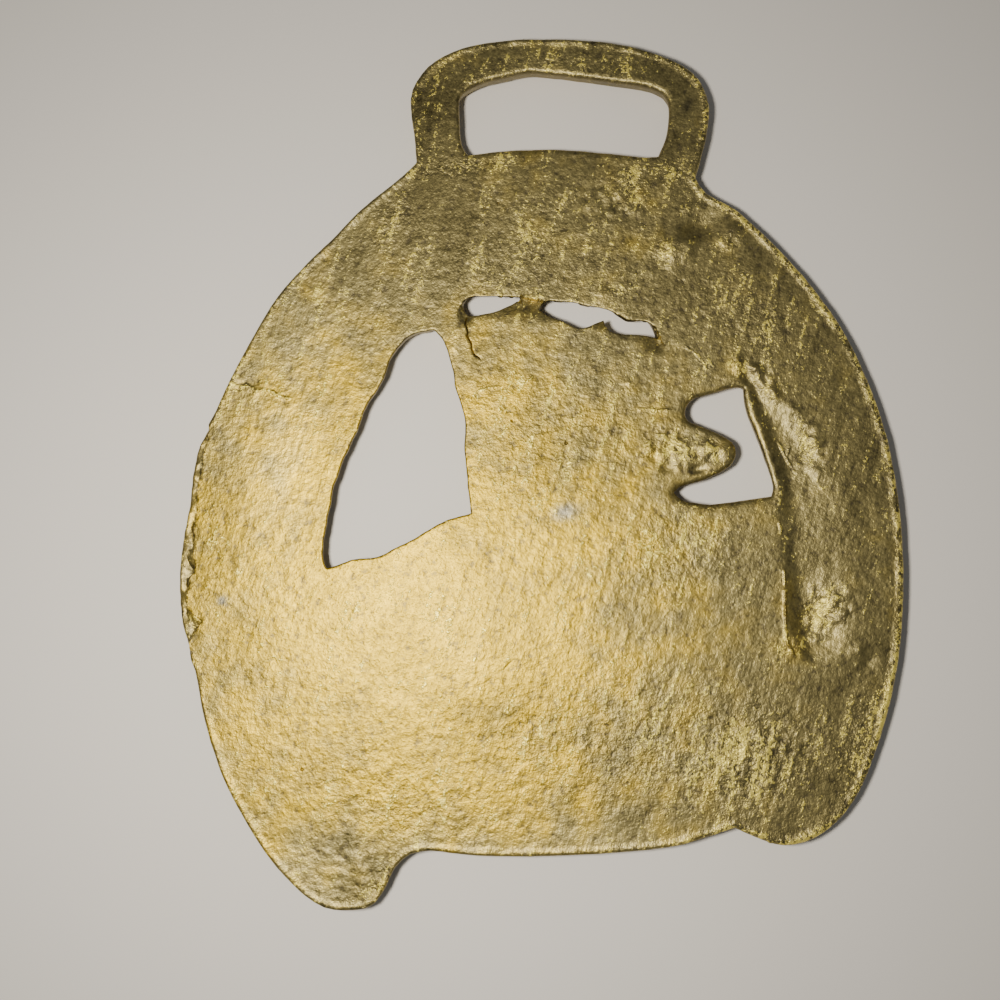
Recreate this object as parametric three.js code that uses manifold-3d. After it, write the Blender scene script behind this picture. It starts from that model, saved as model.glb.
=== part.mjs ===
// Horse brass: a flat, pierced harness ornament, poured in brass as one casting. It hangs on a
// strap by the slot in its hanger. Here it lies on its raised front with its plain back up,
// because it is too thin to stand.
// Millimetres, +Z up, +Y towards the hanger. The origin is the middle of what it lies on.
import * as THREE from 'three';
import { mergeVertices } from 'three/addons/utils/BufferGeometryUtils.js';
import Module from 'manifold-3d';

const wasm = await Module();
wasm.setup();

// Driving dimensions.
const backHeight = 3.1; // from the crests of the front to the flat back
const plateThickness = 2.0;
const breakFloor = 1.9; // how deep the back is broken away at the left edge
const wallDraft = 0.3; // how far a wall leans over the plate's thickness, to leave the sand mould
const curveStep = 1.0; // length of one facet along a curve
const fineStep = 0.7; // the same on the edges of the small openings

const ropeInset = 1.6; // from the edge to the middle of the cable border
const ropePitch = 2.8; // from one strand of the cable to the next
const ropeTwist = 0.65; // radians between a strand and the cable's run
const strandLength = 1.9; // the strand's half length, half width and half height
const strandWidth = 1.2;
const strandHeight = 1.2;

const beadInset = 4.3; // a low bead that follows the cable on its inner side
const beadWidth = 1.1;
const beadHeight = 0.5;
const beadStep = 3.6; // length of one facet along the bead

const panelHeight = 0.85; // the plain raised field in the middle of the front
const panelEdge = 0.9;
const fluteCount = 9;
const fluteHub = [-3, 4]; // the flutes fan out from here
const fluteFan = 1.36; // radians between the outermost two
const fluteMiddle = 29; // from the hub to the middle of a flute
const fluteLength = 10; // half length, half width and depth
const fluteWidth = 1.5;
const fluteDepth = 0.45;
const overcut = 0.5; // how far a cutter runs past the face that it cuts

const frontHeight = backHeight - plateThickness;

// The edge of the back, clockwise, in stretches that meet at a corner.
const hangerBow = [
  [-12.8, 31.1], [-13.0, 33.7], [-13.4, 36.6], [-13.3, 38.9], [-11.5, 41.6], [-8.2, 43.4],
  [-4.1, 44.2], [2.2, 44.3], [8.5, 43.6], [13.7, 41.9], [16.5, 39.9], [17.6, 37.2], [17.4, 34.0],
  [16.7, 31.1], [16.1, 29.1],
];
const rightSide = [
  [16.1, 29.1], [17.0, 27.6], [20.0, 25.8], [22.6, 23.4], [25.6, 20.2], [28.3, 16.7], [30.9, 12.6],
  [33.0, 7.8], [34.6, 2.6], [35.5, -2.8], [35.9, -8.6], [35.8, -13.7], [35.3, -18.7],
  [34.1, -24.3], [32.4, -29.3], [30.5, -33.3], [28.2, -36.0], [25.4, -37.6], [23.0, -37.9],
  [20.8, -37.2], [18.7, -36.3],
];
const bottomAndFoot = [
  [18.7, -36.3], [16.5, -37.0], [13.1, -38.0], [8.2, -38.6], [2.0, -39.0], [-4.0, -39.1],
  [-8.4, -38.9], [-11.2, -38.6], [-12.9, -39.0], [-14.3, -40.2], [-15.4, -42.4], [-16.7, -43.9],
  [-19.0, -44.3], [-21.3, -44.0], [-24.0, -42.2], [-26.6, -39.5], [-29.0, -36.1],
  [-31.6, -31.3], [-33.4, -26.2], [-34.5, -21.4],
];
const leftEdge = [
  [-34.5, -21.4], [-36.2, -17.0], [-36.7, -12.4], [-36.5, -8.4], [-35.9, -4.8], [-35.7, -2.0],
  [-35.0, 1.6], [-33.4, 4.4],
];
// The back is broken away along the left edge, down to breakFloor, and this is what is left of it.
const lowerBreak = [[-34.5, -21.4], [-34.8, -18.4], [-34.2, -17.3], [-33.6, -16.3]];
const upperBreak = [
  [-33.6, -16.3], [-34.2, -15.7], [-35.1, -15.1], [-35.1, -12.4], [-34.6, -11.0], [-34.8, -8.2],
  [-34.5, -5.8], [-34.5, -3.2], [-34.1, -1.2], [-34.0, 0.4], [-33.6, 2.0], [-33.4, 4.4],
];
// From there the cut closes on itself outside the casting.
const aroundBreak = [
  [[-33.4, 4.4], [-40.0, 4.4]], [[-40.0, 4.4], [-40.0, -21.4]], [[-40.0, -21.4], [-34.5, -21.4]],
];
const leftShoulder = [
  [-33.4, 4.4], [-31.8, 8.1], [-29.8, 12.1], [-27.2, 16.7], [-24.7, 19.7], [-21.6, 22.8],
  [-18.1, 26.4], [-14.0, 29.8], [-12.8, 31.1],
];
// Where the arch passes under the hanger.
const crown = [[-9.0, 31.4], [-2.0, 32.4], [5.0, 32.2], [11.5, 30.6]];

// The edges of the openings, in the same way.
const strapSlot = [
  [
    [-7.4, 31.9], [-8.1, 33.0], [-8.3, 36.0], [-8.2, 38.3], [-7.3, 39.1], [-5.8, 39.8],
    [-3.1, 40.4], [-0.9, 40.8], [2.2, 40.5], [7.4, 39.7], [11.6, 38.9], [13.2, 37.9],
    [13.5, 36.0], [13.1, 33.4], [12.3, 31.5],
  ],
  [[12.3, 31.5], [10.6, 31.5], [6.3, 32.0], [1.7, 32.4], [-3.6, 32.3], [-7.4, 31.9]],
];
const wedgeOpening = [
  [
    [-10.9, 13.3], [-10.0, 12.3], [-9.1, 9.8], [-8.6, 7.0], [-7.7, 4.4], [-7.7, 1.2],
    [-7.4, -2.1], [-7.0, -5.6],
  ],
  [[-7.0, -5.6], [-9.5, -6.3], [-13.1, -8.3], [-16.9, -10.1], [-18.7, -10.2], [-21.5, -11.1]],
  [
    [-21.5, -11.1], [-21.9, -10.0], [-21.7, -7.6], [-21.1, -4.0], [-20.2, -0.8], [-18.9, 2.2],
    [-17.5, 5.7], [-16.1, 7.9], [-15.0, 10.8], [-13.3, 12.6], [-10.9, 13.3],
  ],
];
const notchOpening = [
  [
    [20.6, 7.1], [19.3, 7.1], [17.2, 6.5], [15.5, 6.0], [14.8, 5.1], [14.7, 4.3], [15.0, 3.7],
  ],
  [
    [15.0, 3.7], [16.2, 3.2], [18.2, 2.3], [19.4, 1.4], [19.7, 0.5], [19.2, -0.7],
    [17.9, -1.6], [16.0, -2.4], [14.2, -2.9], [13.4, -3.5],
  ],
  [[13.4, -3.5], [14.2, -4.2], [15.4, -4.6], [17.5, -4.7], [20.6, -4.3], [23.1, -3.9]],
  [[23.1, -3.9], [23.3, -2.9], [22.5, 0.1], [21.4, 3.2], [20.7, 5.3], [20.6, 7.1]],
];
const leftSlit = [
  [[-8.0, 16.0], [-7.4, 16.6], [-5.0, 16.7], [-2.0, 16.6]],
  [[-2.0, 16.6], [-3.1, 15.8], [-5.2, 15.0], [-7.4, 14.8], [-8.0, 16.0]],
];
const rightSlit = [
  [
    [-0.1, 15.4], [0.4, 16.1], [1.6, 16.2], [4.4, 15.8], [7.6, 14.9], [8.9, 14.1], [10.7, 14.0],
    [11.6, 13.4], [12.0, 12.3],
  ],
  [[12.0, 12.3], [10.0, 12.6], [7.6, 12.8], [6.8, 13.2], [6.5, 14.2]],
  [[6.5, 14.2], [5.2, 13.6], [4.1, 13.3], [2.4, 14.0], [0.9, 14.7], [-0.1, 15.4]],
];

// The plain raised field of the front keeps about a millimetre clear of the openings.
const panelOutline = [
  [
    [-6.2, 13.0], [-1.0, 13.2], [3.0, 12.0], [9.0, 11.2], [12.6, 9.4], [13.6, 6.4], [13.4, 3.6],
    [17.4, 1.0], [13.2, -1.6], [11.8, -3.6], [13.4, -6.6], [19.6, -8.4], [21.6, -14.0],
    [21.8, -24.0], [18.4, -31.6], [9.0, -34.2], [-6.0, -34.8], [-16.4, -35.4], [-22.4, -36.6],
    [-27.4, -28.0], [-29.4, -20.0], [-27.6, -14.6], [-21.0, -12.9], [-16.0, -11.9],
    [-10.0, -8.6], [-5.6, -7.0], [-5.8, 0.0], [-6.8, 6.0], [-6.2, 13.0],
  ],
];

// Hollows in the back, behind what stands out on the front: the middle, the half length and half
// width, the depth, and the turn of the long axis from +X.
const backHollows = [
  { name: 'upper trough', at: [25.1, 2.9], length: 7.2, width: 2.6, depth: 0.9, turn: -1.22 },
  { name: 'trough bend', at: [26.3, -5.6], length: 6.0, width: 2.0, depth: 0.7, turn: -1.6 },
  { name: 'lower trough', at: [26.7, -13.0], length: 7.6, width: 2.6, depth: 0.8, turn: -1.52 },
  { name: 'trough end', at: [28.3, -16.2], length: 4.6, width: 3.6, depth: 0.7, turn: -1.2 },
  { name: 'shoulder dimple', at: [16.6, 23.4], length: 2.8, width: 2.4, depth: 0.4, turn: 0.9 },
  { name: 'lobe hollow', at: [17.2, 0.6], length: 1.9, width: 1.3, depth: 0.4, turn: 0.1 },
  { name: 'lobe root', at: [14.3, -0.3], length: 1.4, width: 1.1, depth: 0.35, turn: 0.6 },
];
const hollowRound = 3; // how many times its depth a hollow's ellipsoid is high
const swellSpread = 1.3; // how much wider the front swells than the back sinks
const swellHeight = 0.8;
const swellCore = 0.9; // half height of the ellipsoid that makes a swelling

// Points about one step apart on a smooth curve through the knots of one stretch.
function curvePoints(knots, step) {
  const curve = new THREE.CatmullRomCurve3(
    knots.map(([x, y]) => new THREE.Vector3(x, y, 0)), false, 'centripetal',
  );
  return curve.getSpacedPoints(Math.max(2, Math.round(curve.getLength() / step)));
}

// A closed shape from stretches that run end to end.
function closedShape(stretches, step = curveStep) {
  const points = stretches.flatMap((knots) => curvePoints(knots, step).slice(0, -1));
  return new THREE.Shape(points.map((p) => new THREE.Vector2(p.x, p.y)));
}

function toSolid(geometry) {
  geometry.deleteAttribute('normal');
  geometry.deleteAttribute('uv');
  const merged = mergeVertices(geometry, 1e-4);
  return new wasm.Manifold(new wasm.Mesh({
    numProp: 3,
    vertProperties: new Float32Array(merged.attributes.position.array),
    triVerts: new Uint32Array(merged.index.array),
  }));
}

function toGeometry(solid) {
  const mesh = solid.getMesh();
  const geometry = new THREE.BufferGeometry();
  geometry.setAttribute('position', new THREE.BufferAttribute(mesh.vertProperties, 3));
  geometry.setIndex(new THREE.BufferAttribute(mesh.triVerts, 1));
  geometry.computeVertexNormals();
  return geometry;
}

// The blank: the edge is full size at the back and leans in towards the front. The extrusion runs
// past both faces and is cut off flat, because its bevel comes at both ends.
function plateBlank() {
  const reach = plateThickness + 2 * overcut;
  const slope = wallDraft / plateThickness;
  const outline = closedShape([hangerBow, rightSide, bottomAndFoot, leftEdge, leftShoulder]);
  const tall = new THREE.ExtrudeGeometry(outline, {
    depth: 1, bevelThickness: reach, bevelSize: slope * reach, bevelSegments: 1,
    bevelOffset: slope * (overcut - reach),
  });
  tall.translate(0, 0, backHeight + overcut);
  const keep = new THREE.BoxGeometry(100, 100, plateThickness);
  keep.translate(0, 0, backHeight - plateThickness / 2);
  return toSolid(tall).intersect(toSolid(keep));
}

// What has gone from the left edge of the back.
function breakCutter() {
  const shape = closedShape([lowerBreak, upperBreak, ...aroundBreak], fineStep);
  const cutter = new THREE.ExtrudeGeometry(shape, {
    depth: backHeight + overcut - breakFloor, bevelEnabled: false,
  });
  cutter.translate(0, 0, breakFloor);
  return toSolid(cutter);
}

// What an opening takes away: its edge is as drawn at the back and widens towards the front.
function openingCutter(stretches, draft) {
  const reach = plateThickness + overcut;
  const depth = frontHeight + overcut;
  const slope = draft / plateThickness;
  const cutter = new THREE.ExtrudeGeometry(closedShape(stretches, fineStep), {
    depth, bevelThickness: reach, bevelSize: slope * reach, bevelSegments: 1,
    bevelOffset: -slope * overcut,
  });
  cutter.translate(0, 0, backHeight + overcut - depth - reach);
  return toSolid(cutter);
}

function ellipsoid(halfSizes, turn, middle, sides) {
  const round = new THREE.SphereGeometry(1, sides, Math.round(sides * 0.6));
  round.rotateX(Math.PI / 2);
  round.scale(...halfSizes);
  round.rotateZ(turn);
  round.translate(...middle);
  return toSolid(round);
}

// One strand of the cable at every pitch along the arch, each turned against the cable's run.
function cableBorder() {
  return edgeMarks(ropeInset, ropePitch).map(({ x, y, heading }) => ellipsoid(
    [strandLength, strandWidth, strandHeight], heading + ropeTwist, [x, y, strandHeight], 7,
  ));
}

// Places along the arch, set in from its edge, with the direction that the edge runs there.
function edgeMarks(inset, spacing) {
  const archEdge = [
    ...bottomAndFoot.slice(-6, -1), ...leftEdge, ...leftShoulder.slice(1, -1), ...crown,
    ...rightSide.slice(1, -2),
  ];
  const points = curvePoints(archEdge, spacing);
  return points.map((point, i) => {
    const before = points[Math.max(0, i - 1)];
    const after = points[Math.min(points.length - 1, i + 1)];
    const heading = Math.atan2(after.y - before.y, after.x - before.x);
    return {
      x: point.x + inset * Math.sin(heading), y: point.y - inset * Math.cos(heading), heading,
    };
  });
}

// A round bead sunk into the front, so that beadHeight of it stands out.
function innerBead() {
  const marks = edgeMarks(beadInset, beadStep);
  const path = new THREE.CatmullRomCurve3(
    marks.map(({ x, y }) => new THREE.Vector3(x, y, frontHeight + beadWidth / 2 - beadHeight)),
    false, 'centripetal',
  );
  const section = new THREE.Shape();
  section.absarc(0, 0, beadWidth / 2, 0, 2 * Math.PI);
  return toSolid(new THREE.ExtrudeGeometry(section, {
    extrudePath: path, steps: marks.length, curveSegments: 4,
  }));
}

// The field's bevel is all that stands out; the rest of it is sunk in the plate.
function raisedPanel() {
  const sunk = 0.5;
  const panel = new THREE.ExtrudeGeometry(closedShape(panelOutline, 2 * curveStep), {
    depth: sunk, bevelThickness: panelHeight, bevelSize: panelEdge, bevelOffset: -panelEdge,
    bevelSegments: 2,
  });
  panel.translate(0, 0, frontHeight);
  return toSolid(panel);
}

function fluteCutters() {
  return Array.from({ length: fluteCount }, (_, i) => {
    const heading = fluteFan * (i / (fluteCount - 1) - 0.5) - Math.PI / 2;
    const x = fluteHub[0] + fluteMiddle * Math.cos(heading);
    const y = fluteHub[1] + fluteMiddle * Math.sin(heading);
    const z = frontHeight - panelHeight + fluteDepth - fluteWidth;
    return ellipsoid([fluteLength, fluteWidth, fluteWidth], heading, [x, y, z], 12);
  });
}

function hollowCutter({ at, length, width, depth, turn }) {
  const high = hollowRound * depth;
  const flare = 1 / Math.sqrt(1 - ((high - depth) / high) ** 2);
  const middle = [...at, backHeight + high - depth];
  return ellipsoid([length * flare, width * flare, high], turn, middle, 16);
}

function frontSwelling({ at, length, width, turn }) {
  const halfSizes = [length * swellSpread, width * swellSpread, swellCore];
  return ellipsoid(halfSizes, turn, [...at, frontHeight - swellHeight + swellCore], 12);
}

const castBrass = new THREE.MeshStandardMaterial({ color: 0x8a7640, metalness: 0.9, roughness: 0.5 });

function horseBrass() {
  const raised = [
    raisedPanel(), innerBead(), ...cableBorder(), ...backHollows.map(frontSwelling),
  ];
  const cut = [
    openingCutter(strapSlot, wallDraft), openingCutter(wedgeOpening, wallDraft),
    openingCutter(notchOpening, wallDraft), openingCutter(leftSlit, 0),
    openingCutter(rightSlit, 0), ...fluteCutters(), ...backHollows.map(hollowCutter),
  ];
  // The plate is broken first, so that the cable's strands show past the break.
  const plate = plateBlank().subtract(breakCutter());
  const whole = raised.reduce((casting, piece) => casting.add(piece), plate);
  const pierced = cut.reduce((casting, cutter) => casting.subtract(cutter), whole);
  const mesh = new THREE.Mesh(toGeometry(pierced), castBrass);
  mesh.name = 'horse_brass';
  return mesh;
}

const group = new THREE.Group();
group.add(horseBrass());

export default group;
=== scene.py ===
# The looks of a horse brass: a flat, pierced harness ornament cast in one piece, lying on its raised
# front with its plain, hand-filed back up. Lengths are in millimetres until a mesh is made of them.
import math

import bmesh
import bpy
import numpy as np
from mathutils import Matrix, Vector, noise
from mathutils.bvhtree import BVHTree
from mathutils.geometry import delaunay_2d_cdt
from mathutils.kdtree import KDTree


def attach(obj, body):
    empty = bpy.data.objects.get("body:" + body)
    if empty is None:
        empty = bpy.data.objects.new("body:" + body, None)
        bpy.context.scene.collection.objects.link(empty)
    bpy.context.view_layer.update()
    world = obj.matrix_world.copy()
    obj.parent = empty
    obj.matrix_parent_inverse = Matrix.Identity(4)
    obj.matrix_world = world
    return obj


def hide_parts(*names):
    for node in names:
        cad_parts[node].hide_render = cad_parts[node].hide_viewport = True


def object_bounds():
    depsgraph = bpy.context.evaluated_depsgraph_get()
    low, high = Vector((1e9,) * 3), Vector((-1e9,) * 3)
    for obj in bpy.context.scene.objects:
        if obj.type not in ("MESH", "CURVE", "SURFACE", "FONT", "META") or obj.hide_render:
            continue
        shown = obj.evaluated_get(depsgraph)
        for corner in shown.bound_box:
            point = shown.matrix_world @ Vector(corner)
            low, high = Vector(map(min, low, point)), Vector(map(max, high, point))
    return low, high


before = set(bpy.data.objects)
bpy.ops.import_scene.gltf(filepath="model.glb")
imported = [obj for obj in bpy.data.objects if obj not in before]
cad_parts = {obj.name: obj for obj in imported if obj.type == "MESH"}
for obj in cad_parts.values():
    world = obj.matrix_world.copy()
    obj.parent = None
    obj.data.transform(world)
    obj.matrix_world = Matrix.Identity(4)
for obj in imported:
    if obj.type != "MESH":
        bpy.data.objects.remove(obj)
solid_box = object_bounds()
MM = 0.001
BACK = solid_box[1].z / MM

# ---------------------------------------------------------------------------------------------
# Where it lies and how it is seen: a plain pale table, one small soft lamp close to the left of
# the lens, as on a phone held level some ten centimetres over the brass, and a pale room.
# ---------------------------------------------------------------------------------------------
EYE = (-1.59, -13.77, BACK + 100)
LAMP = (-26, -14, BACK + 100)
LAMP_WIDTH = 12
TABLE_COLOUR = (0.80, 0.765, 0.71)

look = Vector((-0.025, 0.095, -1)).normalized()
aside = look.cross(Vector((0, 1, 0))).normalized()
above = aside.cross(look)
lens = bpy.data.cameras.new("camera")
lens.sensor_width = 36
lens.lens = 36
lens.clip_start = 0.005
camera = bpy.data.objects.new("camera", lens)
bpy.context.scene.collection.objects.link(camera)
facing = Matrix((aside, above, -look)).transposed().to_4x4()
camera.matrix_world = Matrix.Translation(Vector(EYE) * MM) @ facing
bpy.context.scene.camera = camera


def lamp(name, at, towards, width, watts, colour):
    """A square soft lamp that the camera doesn't see."""
    light = bpy.data.lights.new(name, "AREA")
    light.size = width * MM
    light.energy = watts
    light.color = colour
    holder = bpy.data.objects.new(name, light)
    bpy.context.scene.collection.objects.link(holder)
    holder.location = Vector(at) * MM
    holder.rotation_euler = (Vector(at) - Vector(towards)).to_track_quat("Z", "Y").to_euler()
    holder.visible_camera = False


lamp("phone_lamp", LAMP, (-11, -12, 0), LAMP_WIDTH, 0.15, (1.0, 0.94, 0.84))

room = bpy.data.worlds.new("room")
room.use_nodes = True
room.node_tree.nodes["Background"].inputs["Color"].default_value = (0.97, 0.99, 1.0, 1)
room.node_tree.nodes["Background"].inputs["Strength"].default_value = 0.13
bpy.context.scene.world = room

bpy.ops.mesh.primitive_plane_add(size=1.2, location=(0, 0, 0))
table = bpy.context.object
table.name = "table"
paint = bpy.data.materials.new("pale_table")
paint.use_nodes = True
coat = paint.node_tree.nodes["Principled BSDF"]
coat.inputs["Base Color"].default_value = (*TABLE_COLOUR, 1)
coat.inputs["Roughness"].default_value = 0.85
coat.inputs["Specular IOR Level"].default_value = 0.2
table.data.materials.append(paint)

# ---------------------------------------------------------------------------------------------
# The plan of the casting, taken from the solid: its edge as it was moulded, what is left of the
# back where the left edge is broken, and the edges of the slot, the openings and the slits.
# ---------------------------------------------------------------------------------------------
JUST_UNDER_BACK = BACK - 0.05
UNDER_BREAK = 1.8
DRAFT = 0.15  # how far a wall leans for each millimetre of depth
CORNER = math.radians(32)
EDGE_STEP = 0.3
OPENING_STEP = 0.22
EDGE_SAMPLE = 0.05

solid = bmesh.new()
solid.from_mesh(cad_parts["horse_brass"].data)
bmesh.ops.remove_doubles(solid, verts=solid.verts, dist=0.001 * MM)


def level_loops(height):
    """The closed loops, in millimetres, in which a level plane cuts the solid, widest first."""
    cut = solid.copy()
    everything = cut.verts[:] + cut.edges[:] + cut.faces[:]
    section = bmesh.ops.bisect_plane(
        cut, geom=everything, dist=1e-7, plane_co=(0, 0, height * MM), plane_no=(0, 0, 1))
    joined = {}
    for edge in section["geom_cut"]:
        if isinstance(edge, bmesh.types.BMEdge):
            for one, other in (edge.verts, reversed(edge.verts)):
                joined.setdefault(one, []).append(other)
    loops = []
    while joined:
        walk = [next(iter(joined))]
        while walk:
            ahead = [vert for vert in joined.pop(walk[-1], []) if vert in joined]
            if not ahead:
                break
            walk.append(ahead[0])
        points = np.array([vert.co.xy for vert in walk]) / MM
        apart = np.linalg.norm(points - np.roll(points, 1, 0), axis=1) > 0.02
        if apart.sum() > 5:
            loops.append(points[apart])
    cut.free()
    return sorted(loops, key=lambda loop: -abs(area(loop)))


def area(loop):
    """Area inside a closed loop, positive if it runs anticlockwise."""
    ahead = np.roll(loop, -1, 0)
    return 0.5 * float(np.sum(loop[:, 0] * ahead[:, 1] - loop[:, 1] * ahead[:, 0]))


def directions(loop):
    """The way a closed loop runs at each of its points, and the way to its left."""
    run = np.roll(loop, -1, 0) - np.roll(loop, 1, 0)
    for _ in range(2):
        run = run / np.linalg.norm(run, axis=1)[:, None]
        run = 0.5 * run + 0.25 * (np.roll(run, 1, 0) + np.roll(run, -1, 0))
    run /= np.linalg.norm(run, axis=1)[:, None]
    return run, np.stack([-run[:, 1], run[:, 0]], 1)


def resampled(loop, step):
    """A smooth curve through a closed loop's points, with its sharp corners kept, in even steps."""
    ahead = np.roll(loop, -1, 0) - loop
    length = np.linalg.norm(ahead, axis=1)[:, None]
    behind = np.roll(length, 1, 0)
    leaving = ahead / length
    arriving = np.roll(leaving, 1, 0)
    through = (leaving * behind + arriving * length) / (length + behind)
    sharp = (np.arccos(np.clip((leaving * arriving).sum(1), -1, 1)) > CORNER)[:, None]
    start = (np.where(sharp, leaving, through) * length)[:, None]
    end = (np.roll(np.where(sharp, arriving, through), -1, 0) * length)[:, None]
    t = np.linspace(0, 1, 8, endpoint=False)[None, :, None]
    fine = (
        (2 * t**3 - 3 * t**2 + 1) * loop[:, None] + (t**3 - 2 * t**2 + t) * start
        + (3 * t**2 - 2 * t**3) * np.roll(loop, -1, 0)[:, None] + (t**3 - t**2) * end
    ).reshape(-1, 2)
    closed = np.vstack([fine, fine[:1]])
    walked = np.concatenate([[0], np.cumsum(np.linalg.norm(np.diff(closed, axis=0), axis=1))])
    count = round(walked[-1] / step)
    marks = np.arange(count) * walked[-1] / count
    return np.stack([np.interp(marks, walked, closed[:, axis]) for axis in (0, 1)], 1)


def rough(points, size, layer=0.0):
    """Smooth noise from -1 to 1 over the plan, with lumps of about a size."""
    places = np.column_stack([points / size, np.full(len(points), layer)])
    return np.array([noise.noise(place) for place in places.tolist()])


def from_line(points, line):
    """How far points lie from an open line, positive to its right, and how many knots along it."""
    start, reach = line[:-1], np.diff(line, axis=0)
    share = np.einsum("pkx,kx->pk", points[:, None] - start, reach) / (reach**2).sum(1)
    share = np.clip(share, 0, 1)
    away = points[:, None] - (start + share[..., None] * reach)
    apart = np.linalg.norm(away, axis=2)
    near = apart.argmin(1)
    every = np.arange(len(points))
    side = away[every, near, 0] * reach[near, 1] - away[every, near, 1] * reach[near, 0]
    return apart[every, near] * np.where(side < 0, -1, 1), near + share[every, near]


def edge_finder(loops):
    """What tells of points how far they lie from closed loops, whether to their left, and which is
    nearest. It looks among samples close together along the loops."""
    fine = [resampled(loop, EDGE_SAMPLE) for loop in loops]
    samples = np.vstack(fine)
    lefts = np.vstack([directions(loop)[1] for loop in fine])
    owners = np.repeat(range(len(loops)), [len(loop) for loop in fine])
    tree = KDTree(len(samples))
    for number, (x, y) in enumerate(samples.tolist()):
        tree.insert((x, y, 0), number)
    tree.balance()

    def find(points):
        near = np.array([tree.find((x, y, 0))[1] for x, y in points.tolist()])
        away = points - samples[near]
        beyond = (away * lefts[near]).sum(1)
        apart = np.linalg.norm(away, axis=1)
        return np.where(apart < 4 * EDGE_SAMPLE, np.abs(beyond), apart), beyond > 0, owners[near]

    return find


# The openings' edges are read just under the back, and the outer edge below the break, from where
# the wall leans out again to the back. The material lies to the left of every loop.
middle_loops = level_loops(UNDER_BREAK)
back_loops = level_loops(JUST_UNDER_BACK)
outer = resampled(middle_loops[0] if area(middle_loops[0]) > 0 else middle_loops[0][::-1], EDGE_STEP)
outer = outer - DRAFT * (BACK - UNDER_BREAK) * directions(outer)[1]
for _ in range(12):
    share = 0.5 * np.exp(-((outer[:, 1] - 4.2) / 1.4) ** 2) * (outer[:, 0] < -25)
    middle = 0.5 * (np.roll(outer, 1, 0) + np.roll(outer, -1, 0))
    outer = outer + share[:, None] * (middle - outer)
unbroken = back_loops[0] if area(back_loops[0]) > 0 else back_loops[0][::-1]
edges = [outer]
for opening in middle_loops[1:]:
    match = min(back_loops[1:], key=lambda loop: np.linalg.norm(loop.mean(0) - opening.mean(0)))
    match = match if area(match) < 0 else match[::-1]
    edges.append(resampled(match, OPENING_STEP))

# Sand leaves no edge quite even; the widest opening was cleaned out with a knife and is the worst.
WOBBLE = [0.03, 0.1, 0.05, 0.07, 0.06, 0.06]
for number, loop in enumerate(edges):
    amount = WOBBLE[min(number, len(WOBBLE) - 1)]
    shift = rough(loop, 1.9, 3.1) + 0.6 * rough(loop, 0.8, 7.7)
    edges[number] = loop + (amount * shift)[:, None] * directions(loop)[1]
by_the_edges = edge_finder(edges)
by_the_break = edge_finder([unbroken])

# ---------------------------------------------------------------------------------------------
# The back: poured flat, ground over and never finished. It sinks behind what stands out on the
# front, keeps the wrinkles of metal that froze as it met, and is broken away along the left edge.
# ---------------------------------------------------------------------------------------------
# A trough behind something long on the front, from its upper end: where its bottom runs, how far
# its west bank and its east bank reach, and its depth.
TROUGH = [
    ((20.6, 8.9), 0.9, 0.8, 0.20), ((21.6, 7.2), 1.1, 1.0, 0.36), ((22.8, 4.6), 1.5, 2.2, 0.48),
    ((24.2, 1.6), 2.0, 3.8, 0.62), ((25.0, -1.6), 2.2, 3.8, 0.56), ((25.3, -4.2), 2.1, 5.2, 0.36),
    ((25.4, -8.5), 2.0, 6.0, 0.28), ((25.7, -12.0), 2.0, 5.6, 0.42), ((26.1, -16.4), 2.0, 5.2, 0.66),
    ((26.7, -19.2), 1.5, 4.2, 0.40), ((27.2, -20.8), 0.9, 3.0, 0.0),
]
# Smaller swellings and dents: the middle, the half length and half width, the turn of the long
# axis, and the height.
SWELLINGS = [
    ((14.0, 21.8), 3.2, 2.2, 0.5, 0.36), ((16.4, 23.9), 2.9, 2.0, 0.6, -0.36),
    ((19.8, 23.0), 1.9, 1.2, 0.8, 0.18), ((15.2, 25.9), 1.6, 0.7, 0.2, 0.10),
    ((20.0, 9.5), 0.9, 1.5, 0.0, 0.22), ((21.6, 8.9), 1.5, 0.9, -0.3, 0.22),
    ((23.6, 6.4), 1.5, 0.8, -0.7, 0.18), ((25.8, 4.6), 1.6, 1.0, -0.9, 0.12),
    ((14.6, 0.1), 1.4, 1.2, 0.3, 0.24), ((16.9, 0.8), 1.2, 1.1, 1.2, 0.22),
    ((11.0, 0.9), 1.2, 0.8, 1.3, 0.16), ((18.4, 0.5), 0.8, 1.2, 0.0, 0.10),
    ((15.9, -1.2), 1.2, 0.7, 0.2, -0.22), ((12.8, -0.9), 1.4, 0.8, 0.5, -0.18),
    ((15.7, 1.7), 0.8, 0.6, 0.0, -0.12), ((31.0, -19.2), 1.6, 1.0, 0.6, 0.16),
    ((32.0, -20.4), 1.4, 0.8, 0.7, -0.14), ((8.9, 7.6), 0.5, 0.4, 0.0, 0.12),
    ((6.4, 16.9), 1.6, 1.0, 0.0, 0.10), ((-19.5, 25.0), 2.4, 1.0, 0.8, 0.06),
]
# Where the skin is lumpy: the middle, the half length and half width, the turn, and the height.
LUMPY = [
    ((14.6, 0.6), 5.4, 2.8, 0.1, 0.22), ((22.0, 8.0), 3.6, 2.0, -0.7, 0.24),
    ((26.8, 1.4), 5.0, 2.2, -1.25, 0.20), ((27.9, -15.6), 4.6, 3.2, 0.9, 0.24),
    ((14.0, 21.4), 3.4, 2.6, 0.4, 0.14), ((19.6, 22.8), 2.6, 1.8, 0.7, 0.18),
    ((-29.0, 7.2), 4.2, 1.5, -0.2, 0.12), ((21.5, -29.0), 8.0, 6.0, 0.5, 0.10),
    ((8.0, 27.0), 7.0, 3.6, 0.1, 0.10), ((-17.0, -41.0), 8.0, 3.0, -0.5, 0.10),
]
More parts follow.
